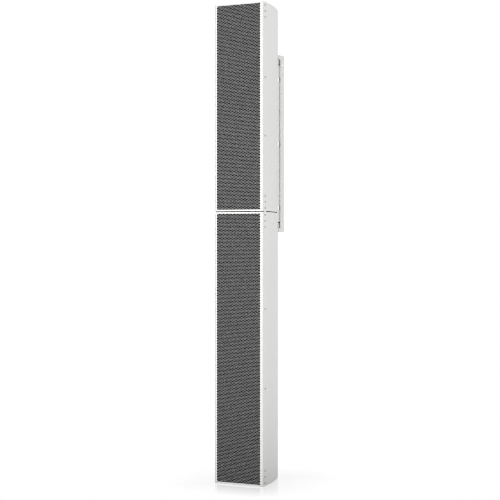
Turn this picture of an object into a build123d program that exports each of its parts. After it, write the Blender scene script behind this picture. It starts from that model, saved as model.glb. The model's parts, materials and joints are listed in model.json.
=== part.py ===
from build123d import *
from dataclasses import dataclass
import math
import os

# A two-module column loudspeaker with a panning wall bracket. Millimetres, +Z up.
# The column stands on z = 0, its grilles face -Y, and the wall is the plane y = WALL_Y.

# ---- cabinet ----
WIDTH = 147.0
REAR_WIDTH = 82.0
CABINET_DEPTH = 172.0
STANDOFF = 55.0
LOWER_HEIGHT = 750.7
UPPER_HEIGHT = 573.0
SEAM = 2.3
WALL = 3.0
LIP = 1.8
REBATE = 10.0
FRONT_RADIUS = 1.5
REAR_RADIUS = 15.0
CAP = 3.0
GASKET_INSET = 2.0
GASKET_WIDTH = 6.5
FIT = 0.05

TOTAL_DEPTH = CABINET_DEPTH + STANDOFF
FRONT_Y = -TOTAL_DEPTH / 2
REAR_Y = FRONT_Y + CABINET_DEPTH
WALL_Y = TOTAL_DEPTH / 2
NARROWING = (WIDTH - REAR_WIDTH) / 2
SIDE_RADIUS = (CABINET_DEPTH**2 + NARROWING**2) / (2 * NARROWING)
REBATE_HALF = WIDTH / 2 - LIP

# ---- screw ports along the rear corners of the extrusion ----
PORT_X = 28.0
PORT_Y = REAR_Y - WALL - 3.6
PORT_RADIUS = 4.0
PORT_HOLE = 1.7

# ---- side screws, end blocks and joining plates ----
SCREW_DEPTH = 15.0
SCREW_STEPS = (8.5, 25.0, 41.5)
SIDE_HEAD = 3.6
SIDE_SHANK = 2.0
SIDE_LENGTH = 11.0
CAP_HEAD = 3.2
CAP_SHANK = 1.6
CAP_SCREW_LENGTH = 6.0
CAP_SCREW_X = 66.0
HOLE_SPARE = 0.4
BLOCK_LENGTH = 46.8
BLOCK_HALF = 7.2
BLOCK_INNER_X = 61.0
PLATE_THICK = 1.5
PLATE_REACH = 50.0
PLATE_GAP = 0.15

# ---- grille and foam ----
GRILLE_SETBACK = 0.4
GRILLE_THICK = 1.2
GRILLE_GAP = 0.15
GRILLE_RETURN = 7.0
FOAM_FRONT = 1.7
FOAM_BACK = 5.0
FOAM_HALF = 69.6

# ---- baffle and coaxial drivers ----
BAFFLE_FRONT = 10.0
BAFFLE_BACK = 22.0
DRIVER_PITCH = 104.0
DRIVER_HOLE = 46.5
DRIVER_SCREW_CIRCLE = 48.3
FLANGE_RADIUS = 50.5
SURROUND_OUTER = 43.5
SURROUND_THICK = 0.6
CONE_RADIUS = 38.5
COIL_OUTER = 12.7
COIL_INNER = 12.2
COIL_BACK = 41.0
NECK_FRONT = 16.8
NECK_BACK = 19.3
MOTOR_FRONT = 33.0

# ---- electronics ----
SINK_HALF = 23.0
SINK_BASE = 5.0
FIN_REACH = 17.0
FIN_PITCH = 5.5
BOARD_HALF = 38.0
BOARD_DEPTH = 25.0
BOARD_THICK = 1.6
STANDOFF_X = 20.5
CHIP_PITCH = 36.0
CHIP_HALF = 9.0
CAN_RADIUS = 9.0
CAN_LENGTH = 28.0
CAN_X = 25.0
TOROID_RADIUS = 38.0
TOROID_HEIGHT = 36.0
TOROID_DEPTH = 22.0

# ---- connector panel, low on the back of the lower module ----
PANEL_HALF = 27.0
PANEL_LOW = 58.0
PANEL_HIGH = 182.0
PANEL_THICK = 1.5
CUTOUT_HALF = 23.5
CUTOUT_MARGIN = 4.0
INLET_Z = 83.0
AUDIO_Z = (109.0, 125.0)
NETWORK_X = (-10.0, 10.0)
NETWORK_Z = 147.0
LAMP_X = 6.0
LAMP_Z = 167.0
SOCKET_PROUD = 1.0
INLET_CAVITY = 18.0

# ---- bracket: channel on the cabinet, channel on the wall, pivot between ----
SHEET = 2.5
RAIL_HALF = 30.0
RAIL_DEPTH = 42.0
RAIL_LOW = 726.0
RAIL_HIGH = 1176.0
YOKE_HALF = 34.5
YOKE_FRONT = 33.7
YOKE_LOW = 697.6
YOKE_HIGH = 1204.6
TAB_HEIGHT = 11.5
TAB_FRONT = 20.0
PIVOT_Y = REAR_Y + 35.0
CABLE_Z = (766.7, 951.2, 1135.8)
CABLE_RADIUS = 7.75
CABLE_HOLE_Y = REAR_Y + 28.0
WINDOW_WIDTH = 52.0
WINDOW_HEIGHT = 36.0
WALL_HOLE_X = 18.0
WALL_HOLE_Z = (801.2, 1101.2)
WALL_HOLE_RADIUS = 4.5
RAIL_BOLT_X = 15.0
RAIL_BOLT_Z = (738.0, 860.0, 1040.0, 1160.0)
RAIL_BOLT_RADIUS = 3.0
PIVOT_RADIUS = 4.0
RUNNING_CLEARANCE = 0.05
BUSH_RADIUS = 6.0
BUSH_FLANGE = 9.0
BUSH_FLANGE_THICK = 2.7
SPACER_HALF = 29.0
SPACER_FRONT = 14.0
SPACER_BACK = 16.5
SLIDING_GAP = 0.1
LOCK_SCREW_Z = 1178.0
LOCK_SCREW_Y = REAR_Y + 44.0


@dataclass
class Module:
    """One cabinet of the column, from its base height upwards."""

    name: str
    base: float
    height: float
    drivers: int
    single_offset: float
    sink_low: float
    sink_high: float
    toroid_z: float

    @property
    def top(self):
        return self.base + self.height

    @property
    def middle(self):
        return self.base + self.height / 2

    def driver_heights(self):
        """Heights of the driver centres, evenly spaced about the middle."""
        first = self.middle - DRIVER_PITCH * (self.drivers - 1) / 2
        return [first + DRIVER_PITCH * i for i in range(self.drivers)]

    def end_screw_heights(self):
        """Heights of the three screws at each end."""
        low = [self.base + step for step in SCREW_STEPS]
        high = [self.top - step for step in SCREW_STEPS]
        return low + high

    def single_screw_heights(self):
        """Heights of the two single screws that hold the edge of the baffle."""
        return [self.middle - self.single_offset, self.middle + self.single_offset]


LOWER = Module("lower", 0.0, LOWER_HEIGHT, 7, 109.0, 300.0, 600.0, 240.0)
UPPER = Module("upper", LOWER_HEIGHT + SEAM, UPPER_HEIGHT, 5, 80.0, 880.0, 1020.0, 1250.0)
MODULES = (LOWER, UPPER)


# ---------------------------------------------------------------- shared shapes


def block(x, y, z):
    """A block between the pairs of limits x, y and z."""
    size = Box(x[1] - x[0], y[1] - y[0], z[1] - z[0])
    return Pos((x[0] + x[1]) / 2, (y[0] + y[1]) / 2, (z[0] + z[1]) / 2) * size


def prism(face, low, high):
    """A plan section raised between two heights."""
    return Pos(0, 0, low) * extrude(face, amount=high - low, dir=(0, 0, 1))


def rod(centre, radius, length, direction):
    """A cylinder that starts at a point and runs along a direction."""
    start = Plane(origin=centre, z_dir=direction)
    return start * Cylinder(radius, length, align=(Align.CENTER, Align.CENTER, Align.MIN))


def turned(points):
    """A solid turned about the Y axis from a closed outline of (radius, depth) points."""
    return revolve(make_face(Polyline(*points, close=True)), Axis.Y)


def depth_y(depth):
    """The Y of a depth behind the front face."""
    return FRONT_Y + depth


def side_point(depth):
    """A point on the bowed +X side at a depth behind the front, and the angle of the side there."""
    angle = math.asin(depth / SIDE_RADIUS)
    return WIDTH / 2 - SIDE_RADIUS * (1 - math.cos(angle)), depth_y(depth), angle


def outline(inset=0.0):
    """Plan section of the cabinet, drawn in by an inset: flat front, bowed sides, flat rear."""
    half_front = WIDTH / 2
    half_rear = REAR_WIDTH / 2
    front = Line((-half_front, FRONT_Y), (half_front, FRONT_Y))
    right = TangentArc((half_front, FRONT_Y), (half_rear, REAR_Y), tangent=(0, 1))
    rear = Line((half_rear, REAR_Y), (-half_rear, REAR_Y))
    left = TangentArc((-half_front, FRONT_Y), (-half_rear, REAR_Y), tangent=(0, 1))
    face = make_face([front, right, rear, left])
    face = fillet(face.vertices().sort_by(Axis.Y)[-2:], REAR_RADIUS)
    if inset == 0:
        return fillet(face.vertices().sort_by(Axis.Y)[:2], FRONT_RADIUS)
    return offset(face, amount=-inset, kind=Kind.INTERSECTION)


def countersunk(head, shank, length, clearance=0.0):
    """A countersunk screw pointing down from z = 0, or its hole when a clearance is given."""
    head_depth = head - shank
    outer = head + clearance
    inner = shank + clearance
    points = [(0, 0), (outer, 0), (outer, -0.5), (inner, -0.5 - head_depth), (inner, -length), (0, -length)]
    face = make_face(Polyline(*[(r, 0, z) for r, z in points], close=True))
    body = revolve(face, Axis.Z)
    if clearance:
        return body
    socket = extrude(RegularPolygon(head * 0.48, 6), amount=-1.6)
    return body - socket


def pan_head(head, head_height, shank, length):
    """A button-head screw pointing down, its head standing on z = 0."""
    head_body = rod((0, 0, 0), head, head_height, (0, 0, 1))
    head_body = fillet(head_body.edges().sort_by(Axis.Z)[-1:], head_height * 0.6)
    socket = Pos(0, 0, head_height) * extrude(RegularPolygon(head * 0.42, 6), amount=-head_height * 0.6)
    return head_body - socket + rod((0, 0, 0), shank, length, (0, 0, -1))


# ---------------------------------------------------------------- screws in the sides


def side_screw_places(module):
    """Planes on both sides of a module, one for each side screw, facing outwards."""
    x, y, angle = side_point(SCREW_DEPTH)
    places = []
    for z in module.end_screw_heights() + module.single_screw_heights():
        for side in (-1, 1):
            normal = (side * math.cos(angle), math.sin(angle), 0)
            places.append(Plane(origin=(side * x, y, z), x_dir=(0, 0, 1), z_dir=normal))
    return places


def side_screws(module):
    """Countersunk hexagon-socket screws down both sides."""
    screw = countersunk(SIDE_HEAD, SIDE_SHANK, SIDE_LENGTH)
    return [place * screw for place in side_screw_places(module)]


def side_screw_holes(module):
    """The holes that the side screws pass through."""
    hole = countersunk(SIDE_HEAD, SIDE_SHANK, SIDE_LENGTH + HOLE_SPARE, FIT)
    return [place * hole for place in side_screw_places(module)]


# ---------------------------------------------------------------- cabinet


def plate_region(slack):
    """Both blocks that bound the joining plates, across the seam."""
    near = depth_y(SCREW_DEPTH - BLOCK_HALF) - slack
    far = depth_y(SCREW_DEPTH + BLOCK_HALF) + slack
    low = LOWER.top - PLATE_REACH - slack
    high = UPPER.base + PLATE_REACH + slack
    right = block((WIDTH / 2 - 8, WIDTH / 2 + 1), (near, far), (low, high))
    left = block((-WIDTH / 2 - 1, -WIDTH / 2 + 8), (near, far), (low, high))
    return right + left


def joint_skin():
    """The outermost layer of the cabinet round the seam, as thick as the joining plates."""
    low = LOWER.top - PLATE_REACH - 2
    high = UPPER.base + PLATE_REACH + 2
    return prism(outline(), low, high) - prism(outline(PLATE_THICK), low - 1, high + 1)


def joining_plates():
    """Flush plates that tie the two modules together across the seam."""
    plates = joint_skin() & plate_region(0)
    for module in MODULES:
        for hole in side_screw_holes(module):
            plates -= hole
    return plates.solids()


def rear_bolt_holes(module):
    """Holes through the rear wall for the bolts of the cabinet rail."""
    holes = []
    for z in RAIL_BOLT_Z:
        if module.base < z < module.top:
            for x in (-RAIL_BOLT_X, RAIL_BOLT_X):
                start = (x, REAR_Y - WALL - 1, z)
                holes.append(rod(start, RAIL_BOLT_RADIUS + FIT, WALL + 2, (0, 1, 0)))
    return holes


def screw_ports(module):
    """Round ports for the cap screws, along the inside of the rear corners."""
    low = module.base + CAP
    ports = []
    for x in (-PORT_X, PORT_X):
        port = rod((x, PORT_Y, low), PORT_RADIUS, module.height - 2 * CAP, (0, 0, 1))
        ports.append(port)
    return ports


def enclosure(module):
    """Extruded shell, open at the front and at both ends."""
    shell = prism(outline(), module.base, module.top)
    shell -= prism(outline(WALL), module.base - 1, module.top + 1)
    for port in screw_ports(module):
        shell += port
    for x in (-PORT_X, PORT_X):
        shell -= rod((x, PORT_Y, module.base - 1), PORT_HOLE, module.height + 2, (0, 0, 1))
    front = (FRONT_Y - 1, depth_y(REBATE))
    shell -= block((-REBATE_HALF, REBATE_HALF), front, (module.base - 1, module.top + 1))
    shell -= joint_skin() & plate_region(PLATE_GAP)
    for hole in side_screw_holes(module) + rear_bolt_holes(module):
        shell -= hole
    if module is LOWER:
        shell -= panel_cutout()
    return shell.solids()


def cap_screw_places(module, top):
    """Places of the four screws in an end cap, with the way that they point."""
    z = module.top if top else module.base
    up = 1 if top else -1
    spots = [(-CAP_SCREW_X, depth_y(SCREW_DEPTH)), (CAP_SCREW_X, depth_y(SCREW_DEPTH))]
    spots += [(-PORT_X, PORT_Y), (PORT_X, PORT_Y)]
    return [Plane(origin=(x, y, z), z_dir=(0, 0, up)) for x, y in spots]


def cap_screw_hole():
    """The hole for one cap screw, pointing down from z = 0."""
    return countersunk(CAP_HEAD, CAP_SHANK, CAP_SCREW_LENGTH + HOLE_SPARE, FIT)


def end_cap(module, top):
    """Flat end plate that fits inside the shell and reaches forward between its front lips."""
    low = module.top - CAP if top else module.base
    plate = prism(outline(WALL + FIT), low, low + CAP)
    half = REBATE_HALF - 0.1
    front = (depth_y(GRILLE_SETBACK), depth_y(REBATE - 0.1))
    plate += block((-half, half), front, (low, low + CAP))
    for place in cap_screw_places(module, top):
        plate -= place * cap_screw_hole()
    return plate.solids()


def cap_screws(module):
    """Four countersunk screws in each end cap."""
    screws = []
    for top in (False, True):
        for place in cap_screw_places(module, top):
            screws.append(place * countersunk(CAP_HEAD, CAP_SHANK, CAP_SCREW_LENGTH))
    return screws


def end_blocks(module):
    """Threaded bars inside the side walls at both ends; side and cap screws run into them."""
    near = depth_y(SCREW_DEPTH - BLOCK_HALF)
    far = depth_y(SCREW_DEPTH + BLOCK_HALF)
    blocks = []
    inside = prism(outline(WALL + FIT), module.base, module.top)
    for low in (module.base + CAP, module.top - CAP - BLOCK_LENGTH):
        for side in (-1, 1):
            x = sorted((side * BLOCK_INNER_X, side * WIDTH / 2))
            bar = inside & block(x, (near, far), (low, low + BLOCK_LENGTH))
            blocks.append(bar)
    cuts = side_screw_holes(module)
    for top in (False, True):
        for place in cap_screw_places(module, top):
            cuts.append(place * cap_screw_hole())
    trimmed = []
    for bar in blocks:
        for cut in cuts:
            bar -= cut
        trimmed += bar.solids()
    return trimmed


def seam_gasket():
    """Dark foam frame squeezed between the two modules, set back from the outside."""
    ring = prism(outline(GASKET_INSET), LOWER.top, UPPER.base)
    ring -= prism(outline(GASKET_INSET + GASKET_WIDTH), LOWER.top - 1, UPPER.base + 1)
    for x in (-CAP_SCREW_X, CAP_SCREW_X):
        start = (x, depth_y(SCREW_DEPTH), LOWER.top - 1)
        ring -= rod(start, CAP_HEAD + 1.0, SEAM + 2, (0, 0, 1))
    return ring.solids()


# ---------------------------------------------------------------- grille and baffle


def grille(module):
    """Sheet-steel grille tray with edges returned backwards, between the lips and the caps."""
    half = REBATE_HALF - GRILLE_GAP
    low = module.base + CAP + GRILLE_GAP
    high = module.top - CAP - GRILLE_GAP
    front = depth_y(GRILLE_SETBACK)
    tray = block((-half, half), (front, depth_y(GRILLE_RETURN)), (low, high))
    inner = half - GRILLE_THICK
    hollow = (front + GRILLE_THICK, depth_y(GRILLE_RETURN) + 1)
    tray -= block((-inner, inner), hollow, (low + GRILLE_THICK, high - GRILLE_THICK))
    return tray.solids()


def grille_foam(module):
    """Black acoustic foam behind the grille."""
    margin = CAP + GRILLE_GAP + GRILLE_THICK + 0.3
    y = (depth_y(FOAM_FRONT), depth_y(FOAM_BACK))
    return [block((-FOAM_HALF, FOAM_HALF), y, (module.base + margin, module.top - margin))]


def driver_screw_places(module):
    """Planes of the four screws of each driver, facing forwards."""
    reach = DRIVER_SCREW_CIRCLE * math.sqrt(0.5)
    y = depth_y(BAFFLE_FRONT) - 3.0
    return [
        Plane(origin=(sx * reach, y, z + sz * reach), x_dir=(1, 0, 0), z_dir=(0, -1, 0))
        for z in module.driver_heights()
        for sx in (-1, 1)
        for sz in (-1, 1)
    ]


def baffle(module):
    """Front board that carries the drivers, notched round the end blocks."""
    low = module.base + CAP + 0.1
    high = module.top - CAP - 0.1
    y = (depth_y(BAFFLE_FRONT), depth_y(BAFFLE_BACK))
    board = prism(outline(WALL + 0.1), low, high) & block((-WIDTH, WIDTH), y, (low, high))
    notch_y = (y[0] - 2, y[1] + 2)
    for end in ((low - 1, low + BLOCK_LENGTH + 0.2), (high - BLOCK_LENGTH - 0.2, high + 1)):
        for side in (-1, 1):
            x = sorted((side * (BLOCK_INNER_X - 0.2), side * WIDTH / 2))
            board -= block(x, notch_y, end)
    for z in module.driver_heights():
        board -= rod((0, y[0] - 1, z), DRIVER_HOLE, 14.0, (0, 1, 0))
    for place in driver_screw_places(module):
        board -= place * rod((0, 0, 1), 1.3 + FIT, 13.0, (0, 0, -1))
    for hole in side_screw_holes(module):
        board -= hole
    return board.solids()


# ---------------------------------------------------------------- coaxial driver, axis along Y


def frame_shape():
    """Cast basket: flange, cone-shaped wall with four windows, spider shelf and motor seat."""
    basket = turned(
        [
            (SURROUND_OUTER, -3.0),
            (FLANGE_RADIUS, -3.0),
            (FLANGE_RADIUS, 0.0),
            (46.0, 0.0),
            (31.0, 28.0),
            (31.0, MOTOR_FRONT),
            (14.5, MOTOR_FRONT),
            (14.5, 31.0),
            (29.0, 31.0),
            (29.0, 28.0),
            (30.3, 25.5),
            (27.0, 25.5),
            (27.0, 24.0),
            (31.1, 24.0),
            (SURROUND_OUTER, 0.8),
        ]
    )
    window = block((27.5, 60.0), (5.0, 21.0), (-15.0, 15.0))
    for quarter in range(4):
        basket -= Rot(0, 90 * quarter, 0) * window
    for quarter in range(4):
        angle = math.radians(45 + 90 * quarter)
        x = DRIVER_SCREW_CIRCLE * math.cos(angle)
        z = DRIVER_SCREW_CIRCLE * math.sin(angle)
        basket -= rod((x, -4.0, z), 1.3 + FIT, 5.0, (0, 1, 0))
    return basket


def motor_shape():
    """Pole, magnet and plates in one turned piece, with the ring gap for the coil."""
    return turned(
        [
            (0.0, MOTOR_FRONT),
            (11.6, MOTOR_FRONT),
            (11.6, 47.0),
            (13.4, 47.0),
            (13.4, MOTOR_FRONT),
            (29.0, MOTOR_FRONT),
            (29.0, 37.0),
            (32.0, 37.0),
            (32.0, 49.0),
            (28.0, 49.0),
            (28.0, 53.0),
            (0.0, 53.0),
        ]
    )


def cone_shape():
    """Stiff paper cone from the coil former out to the surround."""
    return turned(
        [
            (COIL_OUTER, NECK_FRONT),
            (CONE_RADIUS, -0.9),
            (CONE_RADIUS, 0.4),
            (13.4, NECK_BACK),
            (COIL_OUTER, NECK_BACK),
        ]
    )


def coil_shape():
    """Voice-coil former."""
    return turned(
        [
            (COIL_INNER, NECK_FRONT),
            (COIL_OUTER, NECK_FRONT),
            (COIL_OUTER, COIL_BACK),
            (COIL_INNER, COIL_BACK),
        ]
    )


def surround_shape():
    """Half-roll rubber surround between cone and flange."""
    middle = (CONE_RADIUS + SURROUND_OUTER) / 2
    reach = (SURROUND_OUTER - CONE_RADIUS) / 2
    steps = 8
    front = []
    for i in range(steps + 1):
        angle = math.pi * i / steps
        front.append((middle - reach * math.cos(angle), -0.9 - reach * math.sin(angle)))
    back = [(radius, depth + SURROUND_THICK) for radius, depth in reversed(front)]
    return turned(front + back)


def spider_shape():
    """Corrugated disc that centres the coil, glued to the shelf of the frame."""
    waves = 8
    start = COIL_OUTER
    stop = 26.5
    front = []
    for i in range(waves + 1):
        radius = start + (stop - start) * i / waves
        front.append((radius, 22.8 + (0.5 if i % 2 else -0.1)))
    front += [(27.2, 23.5), (30.4, 23.5)]
    back = [(radius, depth + 0.5) for radius, depth in reversed(front)]
    return turned(front + back)


def tweeter_shapes():
    """High-frequency unit on a post in front of the pole: housing and dome."""
    housing = turned([(0, 6), (10.5, 6), (10.5, 14), (4, 14), (4, MOTOR_FRONT), (0, MOTOR_FRONT)])
    dome = rod((0, 6, 0), 8.0, 3.0, (0, -1, 0))
    dome = fillet(dome.edges().sort_by(Axis.Y)[:1], 2.6)
    return [housing, dome]


def at_drivers(module, shapes):
    """Copies of the shapes at every driver of a module."""
    y = depth_y(BAFFLE_FRONT)
    return [Pos(0, y, z) * shape for z in module.driver_heights() for shape in shapes]


def driver_screws(module):
    """Pan-head screws that hold the driver flanges to the baffle."""
    return [place * pan_head(2.2, 1.4, 1.3, 12.0) for place in driver_screw_places(module)]


# ---------------------------------------------------------------- electronics


def heat_sink(module):
    """Finned aluminium plate against the rear wall."""
    back = REAR_Y - WALL
    z = (module.sink_low, module.sink_high)
    sink = block((-SINK_HALF, SINK_HALF), (back - SINK_BASE, back), z)
    for i in range(-3, 4):
        x = FIN_PITCH * i
        sink += block((x - 0.8, x + 0.8), (back - FIN_REACH, back - SINK_BASE), z)
    return sink.solids()


def board_y():
    """The Y of the front face of the amplifier board."""
    return REAR_Y - WALL - BOARD_DEPTH


def standoff_places(module):
    """Corners of the amplifier board where its standoffs are."""
    return [
        (x, z)
        for x in (-STANDOFF_X, STANDOFF_X)
        for z in (module.sink_low + 8, module.sink_high - 8)
    ]


def chip_heights(module):
    """Heights of the output transistors along the board."""
    count = int((module.sink_high - module.sink_low) // CHIP_PITCH)
    return [module.sink_low + CHIP_PITCH * (i + 0.5) for i in range(count)]


def amplifier_board(module):
    """Circuit board with its row of output transistors."""
    y = board_y()
    board = block((-BOARD_HALF, BOARD_HALF), (y, y + BOARD_THICK), (module.sink_low, module.sink_high))
    for x, z in standoff_places(module):
        board -= rod((x, y - 1, z), 1.5, 4.0, (0, 1, 0))
    chips = [
        block((-CHIP_HALF, CHIP_HALF), (y - 4.5, y), (z - CHIP_HALF, z + CHIP_HALF))
        for z in chip_heights(module)
    ]
    return board.solids() + chips


def capacitors(module):
    """Smoothing capacitors that stand on the amplifier board."""
    cans = []
    for z in chip_heights(module):
        for x in (-CAN_X, CAN_X):
            can = rod((x, board_y(), z), CAN_RADIUS, CAN_LENGTH, (0, -1, 0))
            cans.append(fillet(can.edges().sort_by(Axis.Y)[:1], 1.2))
    return cans


def board_standoffs(module):
    """Posts between the heat sink and the amplifier board, with their screw ends."""
    back = REAR_Y - WALL - SINK_BASE
    front = board_y() + BOARD_THICK
    posts = []
    for x, z in standoff_places(module):
        post = rod((x, front, z), 2.0, back - front, (0, 1, 0))
        post += rod((x, front - 3.2, z), 1.45, 3.4, (0, 1, 0))
        posts.append(post)
    return posts


def transformer(module):
    """Toroidal mains transformer with its bolt hole."""
    y = board_y() - TOROID_DEPTH
    ring = rod((0, y, module.toroid_z), TOROID_RADIUS, TOROID_HEIGHT, (0, 1, 0))
    ring = fillet(ring.edges(), 6.0)
    return [ring - rod((0, y - 1, module.toroid_z), 10.0, TOROID_HEIGHT + 4, (0, 1, 0))]


def transformer_bolt(module):
    """Bolt, dished washer and rear collar that hold the transformer to the rear wall."""
    front = board_y() - TOROID_DEPTH
    back = REAR_Y - WALL
    rear_face = front + TOROID_HEIGHT
    bolt = rod((0, front - 3, module.toroid_z), 16.0, 3.0, (0, 1, 0))
    bolt += rod((0, front - 3, module.toroid_z), 4.0, back - front + 3, (0, 1, 0))
    bolt += rod((0, rear_face, module.toroid_z), 14.0, back - rear_face, (0, 1, 0))
    return [bolt]


# ---------------------------------------------------------------- connector panel


def panel_cutout():
    """The window in the rear wall that the connector panel covers."""
    z = (PANEL_LOW + CUTOUT_MARGIN, PANEL_HIGH - CUTOUT_MARGIN)
    return block((-CUTOUT_HALF, CUTOUT_HALF), (REAR_Y - WALL - 0.01, REAR_Y + 1), z)


def panel_screw_places():
    """Planes of the four panel screws, facing backwards."""
    return [
        Plane(origin=(x, REAR_Y + PANEL_THICK, z), x_dir=(1, 0, 0), z_dir=(0, 1, 0))
        for x in (-25.0, 25.0)
        for z in (PANEL_LOW + 2.2, PANEL_HIGH - 2.2)
    ]


def socket(x, z, half_width, half_height, wall, depth, cavity):
    """A rectangular connector body behind the panel, hollow from its rear face."""
    face = REAR_Y + PANEL_THICK + SOCKET_PROUD
    body = block(
        (x - half_width, x + half_width), (face - depth, face), (z - half_height, z + half_height)
    )
    inner = (x - half_width + wall, x + half_width - wall)
    tall = (z - half_height + wall, z + half_height - wall)
    return body - block(inner, (face - cavity, face + 1), tall)


def connector_bodies():
    """Every connector body by node: mains inlet, audio sockets, network sockets."""
    return {
        "mains_inlet": [socket(0, INLET_Z, 14.0, 11.0, 2.0, 22.0, INLET_CAVITY)],
        "audio_sockets": [socket(0, z, 16.0, 5.5, 1.2, 14.0, 11.0) for z in AUDIO_Z],
        "network_sockets": [socket(x, NETWORK_Z, 8.0, 7.0, 1.2, 16.0, 13.0) for x in NETWORK_X],
    }


def inlet_pins():
    """Three flat contacts inside the mains inlet."""
    back = REAR_Y + PANEL_THICK + SOCKET_PROUD - INLET_CAVITY
    pins = []
    for x, z in ((-7.0, -1.5), (0.0, 2.5), (7.0, -1.5)):
        y = (back, back + 11.0)
        pins.append(block((x - 1.0, x + 1.0), y, (INLET_Z + z - 2.0, INLET_Z + z + 2.0)))
    return pins


def connector_panel():
    """Steel plate over the window, cut for every connector, lamp and screw."""
    y = (REAR_Y, REAR_Y + PANEL_THICK)
    plate = block((-PANEL_HALF, PANEL_HALF), y, (PANEL_LOW, PANEL_HIGH))
    for bodies in connector_bodies().values():
        for body in bodies:
            box = body.bounding_box()
            x = (box.min.X - FIT, box.max.X + FIT)
            z = (box.min.Z - FIT, box.max.Z + FIT)
            plate -= block(x, (y[0] - 1, y[1] + 1), z)
    for x in (-LAMP_X, LAMP_X):
        plate -= rod((x, y[0] - 1, LAMP_Z), 1.5 + FIT, 4.0, (0, 1, 0))
    for place in panel_screw_places():
        plate -= place * rod((0, 0, 1), 1.2 + FIT, 5.0, (0, 0, -1))
    return plate.solids()


def status_lamps():
    """Two small indicator lamps in the panel."""
    lamps = []
    for x in (-LAMP_X, LAMP_X):
        lens = rod((x, REAR_Y - 3.0, LAMP_Z), 1.5, 5.2, (0, 1, 0))
        lamps.append(fillet(lens.edges().sort_by(Axis.Y)[-1:], 0.7))
    return lamps


def panel_screws():
    """Pan-head screws at the corners of the connector panel."""
    return [place * pan_head(2.0, 1.2, 1.2, 1.4) for place in panel_screw_places()]


# ---------------------------------------------------------------- bracket


def cabinet_rail():
    """Channel bolted to the back of both modules, closed at its ends by the pivot plates."""
    z = (RAIL_LOW, RAIL_HIGH)
    y = (REAR_Y, REAR_Y + RAIL_DEPTH)
    inner = RAIL_HALF - SHEET
    rail = block((-RAIL_HALF, RAIL_HALF), y, z)
    rail = fillet(rail.edges().filter_by(Axis.Z).sort_by(Axis.Y)[:2], 2.0)
    hollow = (RAIL_LOW + SHEET, RAIL_HIGH - SHEET)
    rail -= block((-inner, inner), (y[0] + SHEET, y[1] + 1), hollow)
    for height in CABLE_Z:
        rail -= rod((-WIDTH, CABLE_HOLE_Y, height), CABLE_RADIUS, 2 * WIDTH, (1, 0, 0))
    rail -= rod((0, PIVOT_Y, RAIL_LOW - 1), BUSH_RADIUS, RAIL_HIGH - RAIL_LOW + 2, (0, 0, 1))
    for height in RAIL_BOLT_Z:
        for x in (-RAIL_BOLT_X, RAIL_BOLT_X):
            start = (x, REAR_Y - 1, height)
            rail -= rod(start, RAIL_BOLT_RADIUS + FIT, SHEET + 2, (0, 1, 0))
    return rail.solids()


def rail_bolts():
    """Button-head bolts that hold the cabinet rail to the modules."""
    return [
        Plane(origin=(x, REAR_Y + SHEET, z), x_dir=(1, 0, 0), z_dir=(0, 1, 0))
        * pan_head(5.5, 3.2, RAIL_BOLT_RADIUS, SHEET + WALL + 5.0)
        for z in RAIL_BOLT_Z
        for x in (-RAIL_BOLT_X, RAIL_BOLT_X)
    ]


def nut_plates():
    """Threaded bars inside the rear wall, one for each pair of rail bolts."""
    back = REAR_Y - WALL
    plates = []
    for height in RAIL_BOLT_Z:
        bar = block((-22.5, 22.5), (back - 5.0, back), (height - 7.0, height + 7.0))
        for x in (-RAIL_BOLT_X, RAIL_BOLT_X):
            bar -= rod((x, back - 6, height), RAIL_BOLT_RADIUS + FIT, 8.0, (0, 1, 0))
        plates.append(bar)
    return plates


def wall_rail():
    """Channel fixed to the wall, with an ear at each end that carries a pivot bolt."""
    y = (REAR_Y + YOKE_FRONT, WALL_Y)
    inner = YOKE_HALF - SHEET
    channel = block((-YOKE_HALF, YOKE_HALF), y, (YOKE_LOW, YOKE_HIGH))
    channel -= block((-inner, inner), (y[0] - 1, y[1] - SHEET), (YOKE_LOW - 1, YOKE_HIGH + 1))
    tab_y = (REAR_Y + TAB_FRONT, y[1] - SHEET)
    for low in (YOKE_LOW, YOKE_HIGH - TAB_HEIGHT):
        ear = block((-YOKE_HALF, YOKE_HALF), tab_y, (low, low + TAB_HEIGHT))
        hollow_low = low - 1 if low == YOKE_LOW else low + SHEET
        hollow_high = low + TAB_HEIGHT - SHEET if low == YOKE_LOW else low + TAB_HEIGHT + 1
        ear -= block((-inner, inner), (tab_y[0] - 1, tab_y[1] + 1), (hollow_low, hollow_high))
        channel += ear
    channel -= rod((0, PIVOT_Y, YOKE_LOW - 1), PIVOT_RADIUS + FIT, 600.0, (0, 0, 1))
    for height in CABLE_Z:
        half_width = WINDOW_WIDTH / 2
        half_height = WINDOW_HEIGHT / 2
        window = block(
            (-half_width, half_width),
            (WALL_Y - SHEET - 1, WALL_Y + 1),
            (height - half_height, height + half_height),
        )
        channel -= fillet(window.edges().filter_by(Axis.Y), 4.0)
    for height in WALL_HOLE_Z:
        for x in (-WALL_HOLE_X, WALL_HOLE_X):
            start = (x, WALL_Y - SHEET - 1, height)
            channel -= rod(start, WALL_HOLE_RADIUS, SHEET + 2, (0, 1, 0))
    channel -= rod((-WIDTH, LOCK_SCREW_Y, LOCK_SCREW_Z), 2.0 + FIT, 2 * WIDTH, (1, 0, 0))
    return channel.solids()


def pivot_ends():
    """For each end: height of the rail face, height of the ear face, and the outward direction."""
    return (
        (RAIL_HIGH, YOKE_HIGH - TAB_HEIGHT, 1),
        (RAIL_LOW, YOKE_LOW + TAB_HEIGHT, -1),
    )


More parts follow.
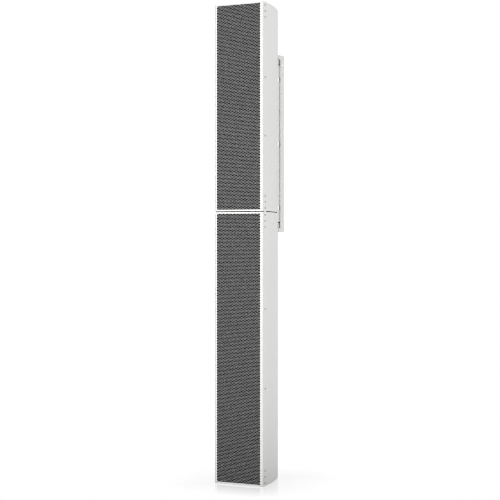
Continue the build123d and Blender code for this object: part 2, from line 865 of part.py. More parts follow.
def pivot_bolts():
    """Shouldered bolts through the ears, the spacers and the bushes of the cabinet rail."""
    bolts = []
    for rail_face, ear_face, way in pivot_ends():
        head_face = ear_face + way * SHEET
        length = abs(head_face - rail_face) + SHEET + 6.0
        head = extrude(RegularPolygon(7.5, 6), amount=5.3)
        bolt = head + rod((0, 0, 0), PIVOT_RADIUS, length, (0, 0, -1))
        place = Plane(origin=(0, PIVOT_Y, head_face), x_dir=(1, 0, 0), z_dir=(0, 0, way))
        bolts.append(place * bolt)
    return bolts


def pivot_spacers():
    """Moulded blocks that fill the ears and keep them at their distance from the cabinet rail."""
    spacers = []
    for rail_face, ear_face, way in pivot_ends():
        start = rail_face + way * (BUSH_FLANGE_THICK + SLIDING_GAP)
        y = (PIVOT_Y - SPACER_FRONT, PIVOT_Y + SPACER_BACK)
        body = block((-SPACER_HALF, SPACER_HALF), y, sorted((start, ear_face)))
        body = fillet(body.edges().filter_by(Axis.Z), 3.0)
        hole_length = abs(ear_face - start) + 2
        body -= rod((0, PIVOT_Y, start - way), PIVOT_RADIUS + FIT, hole_length, (0, 0, way))
        spacers.append(body)
    return spacers


def pivot_bushes():
    """Flanged bushes pressed into the pivot plates of the cabinet rail."""
    bushes = []
    for rail_face, _, way in pivot_ends():
        bush = rod((0, PIVOT_Y, rail_face), BUSH_FLANGE, BUSH_FLANGE_THICK, (0, 0, way))
        bush += rod((0, PIVOT_Y, rail_face - way * SHEET), BUSH_RADIUS, SHEET, (0, 0, way))
        start = rail_face - way * (SHEET + 1)
        bush -= rod((0, PIVOT_Y, start), PIVOT_RADIUS + RUNNING_CLEARANCE, 8.0, (0, 0, way))
        bushes.append(bush)
    return bushes


def retaining_nuts():
    """Lock nuts on the ends of the pivot bolts, inside the cabinet rail."""
    nuts = []
    for rail_face, _, way in pivot_ends():
        face = rail_face - way * (SHEET + 0.3)
        place = Plane(origin=(0, PIVOT_Y, face), x_dir=(1, 0, 0), z_dir=(0, 0, -way))
        nut = extrude(RegularPolygon(7.0, 6), amount=5.0)
        nut -= rod((0, 0, -1), PIVOT_RADIUS, 8.0, (0, 0, 1))
        nuts.append(place * nut)
    return nuts


def lock_screws():
    """Small screws in both sides of the wall rail, just above the cabinet rail."""
    screws = []
    for side in (-1, 1):
        place = Plane(
            origin=(side * YOKE_HALF, LOCK_SCREW_Y, LOCK_SCREW_Z), x_dir=(0, 0, 1), z_dir=(side, 0, 0)
        )
        screws.append(place * pan_head(3.5, 2.0, 2.0, SHEET + 1.5))
    return screws


# ---------------------------------------------------------------- all nodes


def module_nodes(module):
    """Every node of one module, by name."""
    name = module.name
    return {
        f"enclosure_{name}": enclosure(module),
        f"bottom_cap_{name}": end_cap(module, False),
        f"top_cap_{name}": end_cap(module, True),
        f"end_blocks_{name}": end_blocks(module),
        f"grille_{name}": grille(module),
        f"grille_foam_{name}": grille_foam(module),
        f"baffle_{name}": baffle(module),
        f"driver_frames_{name}": at_drivers(module, [frame_shape()]),
        f"driver_motors_{name}": at_drivers(module, [motor_shape()]),
        f"cones_{name}": at_drivers(module, [cone_shape()]),
        f"voice_coils_{name}": at_drivers(module, [coil_shape()]),
        f"surrounds_{name}": at_drivers(module, [surround_shape()]),
        f"spiders_{name}": at_drivers(module, [spider_shape()]),
        f"tweeters_{name}": at_drivers(module, tweeter_shapes()),
        f"heat_sink_{name}": heat_sink(module),
        f"amplifier_board_{name}": amplifier_board(module),
        f"capacitors_{name}": capacitors(module),
        f"transformer_{name}": transformer(module),
    }


def in_both(make):
    """The solids that a function makes for the lower and the upper module together."""
    return [solid for module in MODULES for solid in make(module)]


def shared_nodes():
    """The nodes that belong to both modules, the connector panel and the bracket."""
    nodes = {
        "cap_screws": in_both(cap_screws),
        "side_screws": in_both(side_screws),
        "driver_screws": in_both(driver_screws),
        "board_standoffs": in_both(board_standoffs),
        "transformer_bolts": in_both(transformer_bolt),
        "seam_gasket": seam_gasket(),
        "joining_plates": joining_plates(),
        "connector_panel": connector_panel(),
        "inlet_pins": inlet_pins(),
        "status_lamps": status_lamps(),
        "panel_screws": panel_screws(),
        "cabinet_rail": cabinet_rail(),
        "rail_bolts": rail_bolts(),
        "nut_plates": nut_plates(),
        "wall_rail": wall_rail(),
        "pivot_bolts": pivot_bolts(),
        "pivot_spacers": pivot_spacers(),
        "pivot_bushes": pivot_bushes(),
        "retaining_nuts": retaining_nuts(),
        "lock_screws": lock_screws(),
    }
    return nodes | connector_bodies()


def main():
    """Write one STEP file for each node."""
    os.makedirs("parts", exist_ok=True)
    nodes = {}
    for module in MODULES:
        nodes |= module_nodes(module)
    nodes |= shared_nodes()
    for name, solids in nodes.items():
        export_step(Compound(children=list(solids)), f"parts/{name}.step")


main()
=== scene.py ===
import json
import math

import bmesh
import bpy
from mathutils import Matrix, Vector


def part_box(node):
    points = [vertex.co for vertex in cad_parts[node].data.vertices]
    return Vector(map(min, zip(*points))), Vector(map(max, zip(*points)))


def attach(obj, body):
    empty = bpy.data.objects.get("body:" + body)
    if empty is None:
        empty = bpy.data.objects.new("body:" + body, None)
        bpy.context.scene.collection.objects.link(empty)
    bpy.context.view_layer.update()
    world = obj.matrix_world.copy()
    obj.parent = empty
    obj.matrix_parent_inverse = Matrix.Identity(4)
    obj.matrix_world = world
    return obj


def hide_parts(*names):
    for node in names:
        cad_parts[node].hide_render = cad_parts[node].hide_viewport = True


# A two-module column loudspeaker with a panning wall bracket. Metres, +Z up, grilles face -Y.

# ---- camera ----
CAMERA_LENS = 96.6
CAMERA_PLACE = (1.6232, -3.429, 0.664)
CAMERA_YAW = math.radians(25.6)
CAMERA_SHIFT_Y = -0.013
SENSOR_WIDTH = 36.0
PIXEL_FILTER = 1.05

# ---- perforated grille ----
HOLE_PITCH = 0.00426
HOLE_ACROSS = 0.0037
SHEET_THICK = 0.0008
HOLES_IN_ROW = 31
HOLE_ROWS = {"lower": 201, "upper": 153}
BEND_RADIUS = 0.0012
BEND_STEPS = 5
BORDER = 0.0013
CUT_TOLERANCE = 1e-7

# ---- colours ----
WHITE = (0.80, 0.80, 0.79)
# Grey of the webs between the holes: painted shade on what is the same white sheet as the margin.
WEB_PAINTED_SHADE_GREY = (0.265, 0.265, 0.265)

# ---- edges of CAD pieces that show ----
EDGE_SEGMENTS = 2
EDGE_ANGLE = math.radians(50)
EDGE_RADII = {
    "wall_rail": 0.0005,
    "cabinet_rail": 0.0005,
    "connector_panel": 0.0003,
    "mains_inlet": 0.0004,
    "audio_sockets": 0.0002,
    "network_sockets": 0.0002,
    "top_cap_upper": 0.0003,
    "bottom_cap_lower": 0.0003,
}

# ---- light ----
FILL_DARK = 0.0
FILL_LIGHT = 0.72
FILL_DIRECTION = (-0.55, -0.8, 0.2)
LAMP_AIM = (0, 0, 0.8)
# Each lamp: where it stands, the side of its square, and its power in watts.
LAMPS = {
    "key": ((-1.2, -3.4, 1.1), 1.6, 57.0),
    "side": ((2.7, -1.4, 1.3), 2.2, 54.0),
    "rear": ((-2.2, 3.0, 2.2), 1.6, 60.0),
}

# ---- floor ----
FLOOR_HALF = 20.0
FLOOR_DROP = 0.0005
# Painted bounce light from the floor with a painted contact shadow: no glow out to the first distance,
# full glow at the second.
PAINTED_SHADOW_CORE = 0.05
PAINTED_SHADOW_REACH = 0.35
PAINTED_BOUNCE_LIGHT = 0.6
MIRROR_REACH = 0.15
MIRROR_SHARE = 0.36
FLOOR_ROUGHNESS = 0.08

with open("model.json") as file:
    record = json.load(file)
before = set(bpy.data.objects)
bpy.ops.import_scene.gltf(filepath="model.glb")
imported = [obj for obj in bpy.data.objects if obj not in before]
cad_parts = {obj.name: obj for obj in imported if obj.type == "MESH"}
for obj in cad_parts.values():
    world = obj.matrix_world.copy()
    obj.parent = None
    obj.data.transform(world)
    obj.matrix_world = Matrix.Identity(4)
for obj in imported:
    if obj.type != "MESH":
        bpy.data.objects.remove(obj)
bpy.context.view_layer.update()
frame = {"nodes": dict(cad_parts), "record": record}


# ---------------------------------------------------------------- material building blocks


class Recipe:
    """A new node material with short calls for the textures that these materials share."""

    def __init__(self, name, metallic=0.0):
        self.material = bpy.data.materials.new(name)
        self.material.use_nodes = True
        self.nodes = self.material.node_tree.nodes
        self.links = self.material.node_tree.links
        self.shader = self.nodes["Principled BSDF"]
        self.shader.inputs["Metallic"].default_value = metallic
        self.place = self.nodes.new("ShaderNodeTexCoord").outputs["Object"]

    def stretched(self, scale):
        """Object coordinates multiplied along each axis."""
        mapping = self.nodes.new("ShaderNodeMapping")
        mapping.inputs["Scale"].default_value = scale
        self.links.new(self.place, mapping.inputs["Vector"])
        return mapping.outputs["Vector"]

    def noise(self, scale, detail=3.0, stretch=None):
        """Cloudy noise with this many features in a metre."""
        texture = self.nodes.new("ShaderNodeTexNoise")
        texture.inputs["Scale"].default_value = scale
        texture.inputs["Detail"].default_value = detail
        source = self.stretched(stretch) if stretch else self.place
        self.links.new(source, texture.inputs["Vector"])
        return texture.outputs["Fac"]

    def cells(self, scale, feature="F1"):
        """Voronoi cells with this many in a metre."""
        texture = self.nodes.new("ShaderNodeTexVoronoi")
        texture.feature = feature
        texture.inputs["Scale"].default_value = scale
        self.links.new(self.place, texture.inputs["Vector"])
        return texture.outputs["Distance"]

    def waves(self, scale, direction, distortion=0.0):
        """Parallel bands along one axis."""
        texture = self.nodes.new("ShaderNodeTexWave")
        texture.bands_direction = direction
        texture.inputs["Scale"].default_value = scale
        texture.inputs["Distortion"].default_value = distortion
        self.links.new(self.place, texture.inputs["Vector"])
        return texture.outputs["Fac"]

    def combine(self, operation, first, second):
        """Two values joined by a calculation."""
        node = self.nodes.new("ShaderNodeMath")
        node.operation = operation
        for socket, value in zip(node.inputs, (first, second)):
            if isinstance(value, (int, float)):
                socket.default_value = value
            else:
                self.links.new(value, socket)
        return node.outputs["Value"]

    def colour(self, value, dark, light, low=0.3, high=0.7):
        """Base colour that runs from dark to light with a value."""
        ramp = self.nodes.new("ShaderNodeValToRGB")
        ramp.color_ramp.elements[0].position = low
        ramp.color_ramp.elements[0].color = (*dark, 1.0)
        ramp.color_ramp.elements[1].position = high
        ramp.color_ramp.elements[1].color = (*light, 1.0)
        self.links.new(value, ramp.inputs["Fac"])
        self.links.new(ramp.outputs["Color"], self.shader.inputs["Base Color"])

    def roughness(self, value, low, high):
        """Roughness that runs from low to high with a value."""
        spread = self.nodes.new("ShaderNodeMapRange")
        spread.inputs["To Min"].default_value = low
        spread.inputs["To Max"].default_value = high
        self.links.new(value, spread.inputs["Value"])
        self.links.new(spread.outputs["Result"], self.shader.inputs["Roughness"])

    def bump(self, value, height, strength=1.0):
        """Relief of a height in metres."""
        node = self.nodes.new("ShaderNodeBump")
        node.inputs["Strength"].default_value = strength
        node.inputs["Distance"].default_value = height
        self.links.new(value, node.inputs["Height"])
        self.links.new(node.outputs["Normal"], self.shader.inputs["Normal"])


def shade(colour, factor):
    """A colour made lighter or darker."""
    return tuple(min(1.0, channel * factor) for channel in colour)


def enamel(name, colour, low=0.32, high=0.42, peel=0.00003):
    """Satin enamel: a faint mottle, orange peel about a millimetre across and fine grain."""
    recipe = Recipe(name)
    recipe.colour(recipe.noise(7.0), shade(colour, 0.985), shade(colour, 1.01))
    recipe.roughness(recipe.noise(60.0), low, high)
    grain = recipe.combine("MULTIPLY", recipe.noise(4200.0), 0.25)
    relief = recipe.combine("ADD", recipe.noise(900.0, detail=1.0), grain)
    recipe.bump(relief, peel, 0.5)
    recipe.shader.inputs["IOR"].default_value = 1.48
    return recipe.material


def foam(name, colour, cell=1400.0):
    """Open-cell foam: pitted all over, with painted shade making its pores nearly lightless."""
    recipe = Recipe(name)
    # The darker colour in the pits is painted shade.
    recipe.colour(recipe.cells(cell), shade(colour, 0.35), colour, 0.1, 0.6)
    recipe.roughness(recipe.noise(200.0), 0.9, 1.0)
    recipe.bump(recipe.cells(cell), 0.0004, 0.9)
    recipe.shader.inputs["Specular IOR Level"].default_value = 0.15
    return recipe.material


def rubber(name, colour):
    """Matt rubber with a dusty mottle."""
    recipe = Recipe(name)
    recipe.colour(recipe.noise(90.0), shade(colour, 0.8), shade(colour, 1.35))
    recipe.roughness(recipe.noise(300.0), 0.62, 0.8)
    recipe.bump(recipe.noise(2500.0), 0.00003, 0.6)
    return recipe.material


def steel(name, colour, low, high, stretch=(1.0, 1.0, 0.05)):
    """Metal with fine drawn lines and cloudy roughness."""
    recipe = Recipe(name, metallic=1.0)
    lines = recipe.noise(2600.0, stretch=stretch)
    recipe.colour(recipe.noise(120.0), shade(colour, 0.82), shade(colour, 1.12))
    recipe.roughness(lines, low, high)
    recipe.bump(lines, 0.00001, 0.5)
    return recipe.material


def plastic(name, colour, low=0.42, high=0.58, grain=0.00004):
    """Moulded plastic with a fine spark-eroded texture."""
    recipe = Recipe(name)
    recipe.colour(recipe.noise(70.0), shade(colour, 0.88), shade(colour, 1.12))
    recipe.roughness(recipe.noise(500.0), low, high)
    recipe.bump(recipe.noise(3200.0), grain, 0.6)
    return recipe.material


def fibreboard(name, colour):
    """Stained fibreboard with short felted fibres."""
    recipe = Recipe(name)
    fibres = recipe.noise(900.0, detail=6.0, stretch=(1.0, 1.0, 0.25))
    recipe.colour(fibres, shade(colour, 0.6), shade(colour, 1.6))
    recipe.roughness(fibres, 0.7, 0.9)
    recipe.bump(fibres, 0.00008, 0.7)
    return recipe.material


def paper(name, colour):
    """Felted paper with fine fibres lying every way."""
    recipe = Recipe(name)
    fibres = recipe.noise(1400.0, detail=8.0)
    recipe.colour(fibres, shade(colour, 0.6), shade(colour, 1.8))
    recipe.roughness(fibres, 0.75, 0.92)
    recipe.bump(fibres, 0.00006, 0.8)
    return recipe.material


def woven(name, colour):
    """Plain weave, resin treated."""
    recipe = Recipe(name)
    weave = recipe.combine("MULTIPLY", recipe.waves(900.0, "X"), recipe.waves(900.0, "Z"))
    recipe.colour(weave, shade(colour, 0.6), colour, 0.0, 0.8)
    recipe.roughness(recipe.noise(400.0), 0.6, 0.8)
    recipe.bump(weave, 0.0001, 0.8)
    return recipe.material


def windings(name, colour, metallic=0.0):
    """Close turns of wire under a clear film."""
    recipe = Recipe(name, metallic=metallic)
    turns = recipe.waves(420.0, "DIAGONAL", distortion=0.4)
    recipe.colour(turns, shade(colour, 0.45), colour, 0.1, 0.9)
    recipe.roughness(recipe.noise(240.0), 0.2, 0.38)
    recipe.bump(turns, 0.0002, 0.8)
    return recipe.material


def circuit(name, colour):
    """Solder-masked board with raised tracks."""
    recipe = Recipe(name)
    tracks = recipe.cells(260.0, "DISTANCE_TO_EDGE")
    recipe.colour(tracks, shade(colour, 1.9), colour, 0.02, 0.08)
    recipe.roughness(recipe.noise(150.0), 0.25, 0.4)
    recipe.bump(tracks, 0.00006, 0.6)
    return recipe.material


def lens(name, colour):
    """Frosted lamp lens."""
    material = plastic(name, colour, 0.2, 0.32, 0.00001)
    shader = material.node_tree.nodes["Principled BSDF"]
    shader.inputs["Transmission Weight"].default_value = 0.35
    shader.inputs["Coat Weight"].default_value = 0.4
    return material


def make_materials():
    """One material for each slot of the record."""
    return {
        "white_enamel": enamel("white_enamel", WHITE),
        "plate_enamel": enamel("plate_enamel", shade(WHITE, 1.01), 0.28, 0.4),
        "bracket_enamel": enamel("bracket_enamel", shade(WHITE, 0.98), 0.38, 0.5, 0.00005),
        "grille_enamel": enamel("grille_enamel", shade(WHITE, 1.02), 0.35, 0.45),
        "black_foam": foam("black_foam", (0.012, 0.012, 0.012)),
        "gasket_foam": foam("gasket_foam", (0.03, 0.03, 0.03), 2600.0),
        "coated_screw": enamel("coated_screw", (0.36, 0.36, 0.36), 0.3, 0.42),
        "bright_steel": steel("bright_steel", (0.88, 0.88, 0.89), 0.15, 0.28),
        "dark_steel": steel("dark_steel", (0.06, 0.06, 0.065), 0.35, 0.5),
        "zinc_steel": steel("zinc_steel", (0.60, 0.61, 0.62), 0.25, 0.4),
        "motor_steel": steel("motor_steel", (0.30, 0.31, 0.32), 0.35, 0.5),
        "cast_frame": plastic("cast_frame", (0.04, 0.04, 0.042), 0.45, 0.6, 0.00008),
        "baffle_board": fibreboard("baffle_board", (0.03, 0.027, 0.024)),
        "cone_paper": paper("cone_paper", (0.03, 0.03, 0.03)),
        "coil_foil": windings("coil_foil", (0.70, 0.35, 0.18), 1.0),
        "soft_rubber": rubber("soft_rubber", (0.02, 0.02, 0.02)),
        "spider_cloth": woven("spider_cloth", (0.60, 0.42, 0.12)),
        "black_plastic": plastic("black_plastic", (0.022, 0.022, 0.023)),
        "nylon": plastic("nylon", (0.60, 0.60, 0.59), 0.38, 0.5),
        "bare_aluminium": steel("bare_aluminium", (0.72, 0.73, 0.74), 0.28, 0.42),
        "circuit_board": circuit("circuit_board", (0.01, 0.09, 0.03)),
        "capacitor_sleeve": plastic("capacitor_sleeve", (0.015, 0.015, 0.05), 0.2, 0.32, 0.00001),
        "winding_film": windings("winding_film", (0.50, 0.32, 0.06)),
        "contact_metal": steel("contact_metal", (0.80, 0.62, 0.28), 0.2, 0.32),
        "bronze_bush": steel("bronze_bush", (0.50, 0.33, 0.15), 0.3, 0.45),
        "lamp_lens": lens("lamp_lens", (0.12, 0.50, 0.16)),
    }


def dress_cad_nodes(materials):
    """Give every CAD node the material of its slot."""
    for part in frame["record"]["subparts"]:
        mesh = frame["nodes"][part["node"]].data
        mesh.materials.clear()
        mesh.materials.append(materials[part["material_slot"]])


def soften_edges():
    """Round the sharp edges of the pieces that show, as paint and tumbling do."""
    for node, radius in EDGE_RADII.items():
        bevel = frame["nodes"][node].modifiers.new("soft_edges", "BEVEL")
        bevel.width = radius
        bevel.segments = EDGE_SEGMENTS
        bevel.limit_method = "ANGLE"
        bevel.angle_limit = EDGE_ANGLE
        bevel.harden_normals = True


# ---------------------------------------------------------------- perforated grille


class Lattice:
    """Staggered rows of six-sided cells. Cells outside the hole zone are filled."""

    def __init__(self, half_width, half_height, hole_rows):
        self.row_step = HOLE_PITCH * math.sqrt(0.75)
        self.columns = int(half_width / HOLE_PITCH) + 2
        self.rows = int(half_height / self.row_step) + 2
        self.hole_rows = hole_rows
        self.corner_radius = HOLE_ACROSS / math.sqrt(3)
        self.points = []
        self.first_point = {}
        self.open_cells = set()
        for row in range(-self.rows, self.rows + 1):
            for column in range(-self.columns, self.columns + 1):
                self.add_cell(row, column)

    def add_cell(self, row, column):
        """Store the six corners of one cell, and whether it is a hole."""
        x = (column + 0.5 * (row % 2)) * HOLE_PITCH
        first_row = -(self.hole_rows // 2)
        z = (row - first_row - (self.hole_rows - 1) / 2) * self.row_step
        first_column = -(HOLES_IN_ROW // 2) - row % 2
        in_row = first_column <= column < first_column + HOLES_IN_ROW
        if in_row and first_row <= row < first_row + self.hole_rows:
            self.open_cells.add((row, column))
        self.first_point[row, column] = len(self.points)
        for corner in range(6):
            angle = math.radians(30 + 60 * corner)
            self.points.append(
                (x + self.corner_radius * math.cos(angle), z + self.corner_radius * math.sin(angle))
            )

    def corner(self, cell, number):
        """The number of a corner point of a cell, or None off the edge of the lattice."""
        first = self.first_point.get(cell)
        return None if first is None else first + number

    def faces(self):
        """Faces of the sheet seen from the front, counter-clockwise: webs, joints and filled cells."""
        found = []
        for row, column in self.first_point:
            right = (row, column + 1)
            upper_left = (row + 1, column - 1 + row % 2)
            upper_right = (row + 1, column + row % 2)
            here = (row, column)
            wanted = [
                [(here, 5), (right, 3), (right, 2), (here, 0)],
                [(here, 0), (upper_right, 4), (upper_right, 3), (here, 1)],
                [(here, 1), (upper_left, 5), (upper_left, 4), (here, 2)],
                [(here, 0), (right, 2), (upper_right, 4)],
                [(here, 1), (upper_right, 3), (upper_left, 5)],
            ]
            if here not in self.open_cells:
                wanted.append([(here, corner) for corner in range(6)])
            for face in wanted:
                corners = [self.corner(cell, number) for cell, number in face]
                if None not in corners:
                    found.append(corners)
        return found


def new_object(name, vertices, faces, materials, smooth=False):
    """A mesh object from plain lists."""
    mesh = bpy.data.meshes.new(name)
    mesh.from_pydata(vertices, [], faces)
    for material in materials:
        mesh.materials.append(material)
    for polygon in mesh.polygons:
        polygon.use_smooth = smooth
    mesh.update()
    thing = bpy.data.objects.new(name, mesh)
    bpy.context.scene.collection.objects.link(thing)
    return thing


def trimmed(mesh, half_width, half_height, centre):
    """Cut a flat mesh off along the four sides of an upright rectangle."""
    sheet = bmesh.new()
    sheet.from_mesh(mesh)
    cuts = (
        (Vector((half_width, 0, 0)), Vector((1, 0, 0))),
        (Vector((-half_width, 0, 0)), Vector((-1, 0, 0))),
        (Vector((0, 0, half_height)), Vector((0, 0, 1))),
        (Vector((0, 0, -half_height)), Vector((0, 0, -1))),
    )
    for offset, normal in cuts:
        everything = sheet.verts[:] + sheet.edges[:] + sheet.faces[:]
        bmesh.ops.bisect_plane(
            sheet,
            geom=everything,
            dist=CUT_TOLERANCE,
            plane_co=centre + offset,
            plane_no=normal,
            clear_outer=True,
        )
    sheet.to_mesh(mesh)
    sheet.free()


def paint_shaded_webs(mesh, lattice, centre):
    """Give the zone of the holes the second material, a grey that is painted shade on the white sheet,
    and leave the plain margin the first.
    """
    corners = [lattice.points[lattice.first_point[cell]] for cell in lattice.open_cells]
    left = min(x for x, z in corners) - HOLE_ACROSS
    right = max(x for x, z in corners)
    bottom = min(z for x, z in corners) - HOLE_ACROSS
    top = max(z for x, z in corners)
    for polygon in mesh.polygons:
        offset = polygon.center - centre
        # Painted shade: the webs in the zone of the holes get the grey, and the margin stays white.
        shaded_web = left < offset.x < right and bottom < offset.z < top
        polygon.material_index = 1 if shaded_web else 0


def perforated_sheet(name, low, high, hole_rows, materials):
    """The flat of the grille: two faces with rows of holes, joined by the walls of the holes."""
    centre = (low + high) / 2
    half_width = (high.x - low.x) / 2
    half_height = (high.z - low.z) / 2
    lattice = Lattice(half_width, half_height, hole_rows)
    front = [(centre.x + x, low.y, centre.z + z) for x, z in lattice.points]
    back = [(x, y + SHEET_THICK, z) for x, y, z in front]
    shift = len(front)
    faces = lattice.faces()
    flipped = [[corner + shift for corner in reversed(face)] for face in faces]
    walls = []
    for cell in lattice.open_cells:
        first = lattice.first_point[cell]
        for corner in range(6):
            here = first + corner
            after = first + (corner + 1) % 6
            walls.append([here, after, after + shift, here + shift])
    sheet = new_object(name, front + back, faces + flipped + walls, materials)
    paint_shaded_webs(sheet.data, lattice, centre)
    trimmed(sheet.data, half_width - BORDER, half_height - BORDER, Vector((centre.x, low.y, centre.z)))
    return sheet


def bent_border(name, low, high, materials):
    """The edge of the grille, bent back round a small radius on all four sides."""
    profile = [(BORDER, 0.0)]
    for i in range(BEND_STEPS + 1):
        angle = math.radians(90 * i / BEND_STEPS)
        inset = BEND_RADIUS * (1 - math.sin(angle))
        depth = BEND_RADIUS * (1 - math.cos(angle))
        profile.append((inset, depth))
    profile += [(0.0, high.y - low.y), (SHEET_THICK, high.y - low.y)]
    profile += [(SHEET_THICK, BEND_RADIUS + SHEET_THICK), (BORDER, SHEET_THICK)]
    corners = [(-1, -1), (1, -1), (1, 1), (-1, 1)]
    centre = (low + high) / 2
    vertices = []
    for side_x, side_z in corners:
        for inset, depth in profile:
            x = centre.x + side_x * ((high.x - low.x) / 2 - inset)
            z = centre.z + side_z * ((high.z - low.z) / 2 - inset)
            vertices.append((x, low.y + depth, z))
    count = len(profile)
    faces = []
    for side in range(4):
        for i in range(count):
            after = (i + 1) % count
            following = (side + 1) % 4
            here = side * count
            there = following * count
            faces.append([here + i, here + after, there + after, there + i])
    return new_object(name, vertices, faces, materials)


def make_grille(which, materials):
    """A perforated grille with bent edges in place of the plain CAD tray."""
    node = f"grille_{which}"
    low, high = (Vector(corner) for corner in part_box(node))
    sheet = perforated_sheet(f"perforated_{node}", low, high, HOLE_ROWS[which], materials)
    border = bent_border(f"border_{node}", low, high, materials[:1])
    bpy.ops.object.select_all(action="DESELECT")
    border.select_set(True)
    sheet.select_set(True)
    bpy.context.view_layer.objects.active = sheet
    bpy.ops.object.join()
    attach(sheet, "column")
    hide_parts(node)


# ---------------------------------------------------------------- floor, light and camera


def beyond(nodes, links, value, half):
    """How far a coordinate lies outside the range from -half to half."""
    for operation, number in (("ABSOLUTE", None), ("SUBTRACT", half), ("MAXIMUM", 0.0)):
        node = nodes.new("ShaderNodeMath")
        node.operation = operation
        links.new(value, node.inputs[0])
        if number is not None:
            node.inputs[1].default_value = number
        value = node.outputs["Value"]
    return value


def distance_from_foot(nodes, links):
    """How far a point of the floor lies from the rectangle that the cabinet stands on."""
    low, high = (Vector(corner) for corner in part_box("enclosure_lower"))
    place = nodes.new("ShaderNodeTexCoord")
    split = nodes.new("ShaderNodeSeparateXYZ")
    links.new(place.outputs["Object"], split.inputs["Vector"])
    from_middle = nodes.new("ShaderNodeMath")
    from_middle.operation = "SUBTRACT"
    from_middle.inputs[1].default_value = (low.y + high.y) / 2
    links.new(split.outputs["Y"], from_middle.inputs[0])
    gap = nodes.new("ShaderNodeCombineXYZ")
    half_depth = (high.y - low.y) / 2
    links.new(beyond(nodes, links, split.outputs["X"], high.x), gap.inputs["X"])
    links.new(beyond(nodes, links, from_middle.outputs["Value"], half_depth), gap.inputs["Y"])
    distance = nodes.new("ShaderNodeVectorMath")
    distance.operation = "LENGTH"
    links.new(gap.outputs["Vector"], distance.inputs[0])
    return distance.outputs["Value"]


def fading_mirror(nodes, links, distance):
    """Plain white with a faint mirror near the foot."""
    fade = nodes.new("ShaderNodeMapRange")
    fade.inputs["From Max"].default_value = MIRROR_REACH
    fade.inputs["To Min"].default_value = MIRROR_SHARE
    fade.inputs["To Max"].default_value = 0.0
    links.new(distance, fade.inputs["Value"])
    glow = nodes.new("ShaderNodeEmission")
    glow.inputs["Color"].default_value = (1, 1, 1, 1)
    gloss = nodes.new("ShaderNodeBsdfGlossy")
    gloss.inputs["Roughness"].default_value = FLOOR_ROUGHNESS
    mix = nodes.new("ShaderNodeMixShader")
    links.new(fade.outputs["Result"], mix.inputs["Fac"])
    links.new(glow.outputs["Emission"], mix.inputs[1])
    links.new(gloss.outputs["BSDF"], mix.inputs[2])
    return mix.outputs["Shader"]


def painted_bounce_and_shadow(nodes, links, distance):
    """Painted bounce light: the floor glows for diffuse rays, dark at the foot as a painted contact
    shadow, starting a little way out from it.
    """
    spread = nodes.new("ShaderNodeMapRange")
    spread.inputs["From Min"].default_value = PAINTED_SHADOW_CORE
    spread.inputs["From Max"].default_value = PAINTED_SHADOW_REACH
    spread.inputs["To Max"].default_value = PAINTED_BOUNCE_LIGHT
    links.new(distance, spread.inputs["Value"])
    painted_bounce = nodes.new("ShaderNodeEmission")
    links.new(spread.outputs["Result"], painted_bounce.inputs["Strength"])
    return painted_bounce.outputs["Emission"]


def make_floor():
    """A white floor that mirrors the foot of the column faintly, fading out away from it, and gives
    painted bounce light with a painted contact shadow at the foot.
    """
    material = bpy.data.materials.new("floor")
    material.use_nodes = True
    nodes = material.node_tree.nodes
    links = material.node_tree.links
    nodes.clear()
    distance = distance_from_foot(nodes, links)
    path = nodes.new("ShaderNodeLightPath")
    choice = nodes.new("ShaderNodeMixShader")
    output = nodes.new("ShaderNodeOutputMaterial")
    links.new(path.outputs["Is Diffuse Ray"], choice.inputs["Fac"])
    links.new(fading_mirror(nodes, links, distance), choice.inputs[1])
    links.new(painted_bounce_and_shadow(nodes, links, distance), choice.inputs[2])
    links.new(choice.outputs["Shader"], output.inputs["Surface"])
    half = FLOOR_HALF
    corners = [(-half, -half, 0), (half, -half, 0), (half, half, 0), (-half, half, 0)]
    floor = new_object("studio_floor", corners, [[0, 1, 2, 3]], [material])
    floor.location.z = -FLOOR_DROP


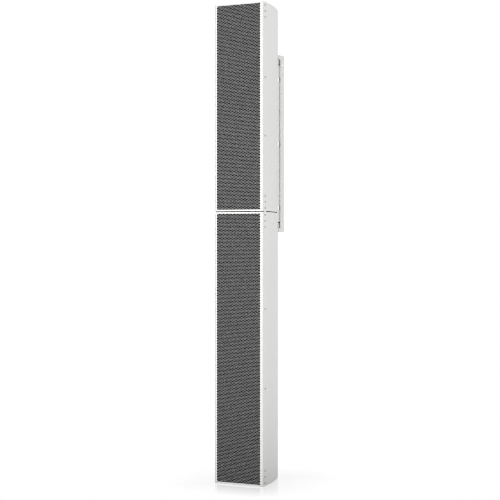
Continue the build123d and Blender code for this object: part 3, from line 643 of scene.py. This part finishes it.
def make_world():
    """A white studio: plain white to look at, and softer light that falls off towards the back."""
    world = bpy.data.worlds.new("studio")
    world.use_nodes = True
    bpy.context.scene.world = world
    nodes = world.node_tree.nodes
    links = world.node_tree.links
    nodes.clear()
    output = nodes.new("ShaderNodeOutputWorld")
    seen = nodes.new("ShaderNodeBackground")
    seen.inputs["Color"].default_value = (1, 1, 1, 1)
    fill = nodes.new("ShaderNodeBackground")
    place = nodes.new("ShaderNodeTexCoord")
    gradient = nodes.new("ShaderNodeVectorMath")
    gradient.operation = "DOT_PRODUCT"
    gradient.inputs[1].default_value = FILL_DIRECTION
    ramp = nodes.new("ShaderNodeMapRange")
    ramp.inputs["From Min"].default_value = -1.0
    ramp.inputs["From Max"].default_value = 1.0
    ramp.inputs["To Min"].default_value = FILL_DARK
    ramp.inputs["To Max"].default_value = FILL_LIGHT
    path = nodes.new("ShaderNodeLightPath")
    mix = nodes.new("ShaderNodeMixShader")
    links.new(place.outputs["Generated"], gradient.inputs[0])
    links.new(gradient.outputs["Value"], ramp.inputs["Value"])
    links.new(ramp.outputs["Result"], fill.inputs["Strength"])
    links.new(path.outputs["Is Diffuse Ray"], mix.inputs["Fac"])
    links.new(seen.outputs["Background"], mix.inputs[1])
    links.new(fill.outputs["Background"], mix.inputs[2])
    links.new(mix.outputs["Shader"], output.inputs["Surface"])


def area_light(name, place, size, power):
    """A soft square lamp that faces the column."""
    lamp = bpy.data.lights.new(name, "AREA")
    lamp.size = size
    lamp.energy = power
    holder = bpy.data.objects.new(name, lamp)
    holder.location = place
    holder.rotation_euler = (Vector(LAMP_AIM) - Vector(place)).to_track_quat("-Z", "Y").to_euler()
    bpy.context.scene.collection.objects.link(holder)


def make_camera():
    """A level camera to the right of the front, with a long lens."""
    data = bpy.data.cameras.new("camera")
    data.lens = CAMERA_LENS
    data.sensor_width = SENSOR_WIDTH
    data.shift_y = CAMERA_SHIFT_Y
    camera = bpy.data.objects.new("camera", data)
    camera.location = CAMERA_PLACE
    camera.rotation_euler = (math.radians(90), 0.0, CAMERA_YAW)
    bpy.context.scene.collection.objects.link(camera)
    bpy.context.scene.camera = camera


make_camera()
make_world()
make_floor()
for lamp_name, (lamp_place, lamp_size, lamp_power) in LAMPS.items():
    area_light(lamp_name, lamp_place, lamp_size, lamp_power)
bpy.context.scene.view_settings.view_transform = "Standard"
bpy.context.scene.cycles.filter_width = PIXEL_FILTER

finishes = make_materials()
dress_cad_nodes(finishes)
soften_edges()
# The grey enamel of the webs is painted shade on the white sheet.
painted_shade_web_enamel = enamel("painted_shade_web_enamel", WEB_PAINTED_SHADE_GREY, 0.4, 0.5)
for which in ("lower", "upper"):
    make_grille(which, [finishes["grille_enamel"], painted_shade_web_enamel])
